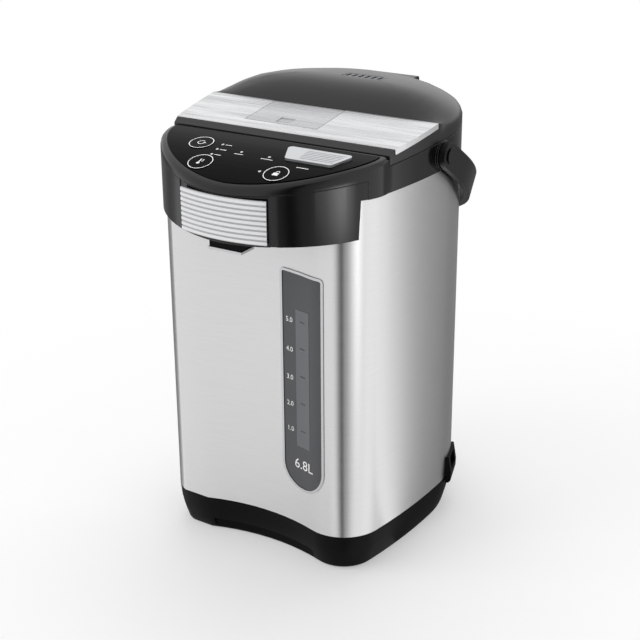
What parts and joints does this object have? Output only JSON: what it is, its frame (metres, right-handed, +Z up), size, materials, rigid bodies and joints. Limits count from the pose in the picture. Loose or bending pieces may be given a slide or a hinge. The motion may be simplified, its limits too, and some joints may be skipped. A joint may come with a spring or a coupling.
{
  "type": "electric thermo pot",
  "caption": "Electric water pot: steel-clad body, domed hinged lid with a ribbed release flap, control panel, pumped spout, water gauge and a swinging bail handle.",
  "frame": {"origin": "middle of the pot's box, on the surface it stands on", "axes": "+Z up, -Y the front with the spout and panel, +X to the right seen from the front"},
  "size_m": [0.2388, 0.3, 0.3922],
  "materials": {
    "brushed_shell": "vertically brushed, satin",
    "black_base": "fine moulded texture",
    "black_gloss": "polished mould",
    "black_cover": "semi-gloss moulding",
    "panel_film": "printed film",
    "silver_trim": "satin silver",
    "silver_key": "silver coating",
    "gauge_dark": "dark tinted",
    "gauge_clear": "clear strip",
    "bright_trim": "polished",
    "tube_glass": "clear",
    "pot_steel": "spun steel",
    "heater_alloy": "cast",
    "silicone": "milky, soft",
    "foot_rubber": "soft",
    "pump_plastic": "natural moulding",
    "motor_can": "plated can",
    "board_green": "solder mask",
    "contact_brass": "plated pins",
    "pin_steel": "drawn wire",
    "lamp_lens": "clear lens"
  },
  "bodies": {
    "pot": {"outer_shell": "brushed_shell", "base_housing": "black_base", "bottom_cover": "black_base", "rubber_feet": "foot_rubber", "cover_screws": "pin_steel", "collar": "black_cover", "mouth_ring": "black_base", "hood": "black_gloss", "panel_overlay": "panel_film", "indicator_lenses": "lamp_lens", "control_board": "board_green", "front_plate": "silver_trim", "spout": "black_cover", "spout_rim": "bright_trim", "gauge_frame": "bright_trim", "gauge_panel": "gauge_dark", "gauge_lens": "gauge_clear", "riser_tube": "tube_glass", "riser_clips": "pump_plastic", "inner_pot": "pot_steel", "heater": "heater_alloy", "thermostats": "motor_can", "suction_hose": "silicone", "pump_body": "pump_plastic", "pump_motor": "motor_can", "pump_elbow": "silicone", "outlet_hose": "silicone", "power_board": "board_green", "power_inlet": "black_base", "inlet_pins": "contact_brass", "hinge_pin": "pin_steel", "handle_pins": "black_cover"},
    "lid": {"lid_hinge": "black_cover", "lid_shell": "black_gloss", "lid_plate": "silver_trim", "lid_liner": "pump_plastic", "lid_gasket": "silicone", "inner_lid": "pot_steel", "lid_screws": "pin_steel", "steam_vent": "black_cover", "steam_duct": "silicone", "latch_tray": "black_base", "flap_pin": "pin_steel", "latch_spring": "pin_steel"},
    "flap": {"latch_flap": "silver_trim"},
    "bolt": {"latch_bolt": "pin_steel"},
    "handle": {"handle_bail": "black_gloss"},
    "reboil": {"reboil_key": "black_gloss"},
    "temperature": {"temperature_key": "black_gloss"},
    "unlock": {"unlock_key": "black_gloss"},
    "dispense": {"dispense_key": "silver_key"},
    "impeller": {"pump_impeller": "pump_plastic"}
  },
  "joints": [
    {"name": "lid_hinge", "type": "hinge", "parent": "pot", "child": "lid", "pos_m": [0, 0.13797, 0.3585], "axis": [-1, 0, 0], "range_deg": [0, 80]},
    {"name": "flap_rock", "type": "hinge", "parent": "lid", "child": "flap", "pos_m": [-0.011, -0.0209, 0.365], "axis": [1, 0, 0], "range_deg": [0, 14], "stiffness_Nm_per_rad": 0.35, "springref_deg": -17.19},
    {"name": "bolt_slide", "type": "slide", "parent": "lid", "child": "bolt", "axis": [0, 1, 0], "range_m": [0, 0.00215]},
    {"name": "handle_swing", "type": "hinge", "parent": "pot", "child": "handle", "pos_m": [0, 0.01157, 0.3455], "axis": [1, 0, 0], "range_deg": [0, 120]},
    {"name": "reboil_press", "type": "slide", "parent": "pot", "child": "reboil", "axis": [0, 0.1764, -0.9843], "range_m": [0, 0.0008], "stiffness_N_per_m": 900, "springref_m": -0.0006},
    {"name": "temperature_press", "type": "slide", "parent": "pot", "child": "temperature", "axis": [0, 0.2833, -0.959], "range_m": [0, 0.0008], "stiffness_N_per_m": 900, "springref_m": -0.0006},
    {"name": "unlock_press", "type": "slide", "parent": "pot", "child": "unlock", "axis": [0, 0.2795, -0.9601], "range_m": [0, 0.0008], "stiffness_N_per_m": 900, "springref_m": -0.0006},
    {"name": "dispense_press", "type": "slide", "parent": "pot", "child": "dispense", "axis": [0, 0.1573, -0.9876], "range_m": [0, 0.0015], "stiffness_N_per_m": 900, "springref_m": -0.0006},
    {"name": "pump_spin", "type": "hinge", "parent": "pot", "child": "impeller", "pos_m": [0.03, -0.04903, 0.04], "axis": [0, 0, 1], "continuous": true}
  ],
  "couplings": [
    {"joint": "bolt_slide", "follows": "flap_rock", "m_per_rad": 0.00872}
  ]
}
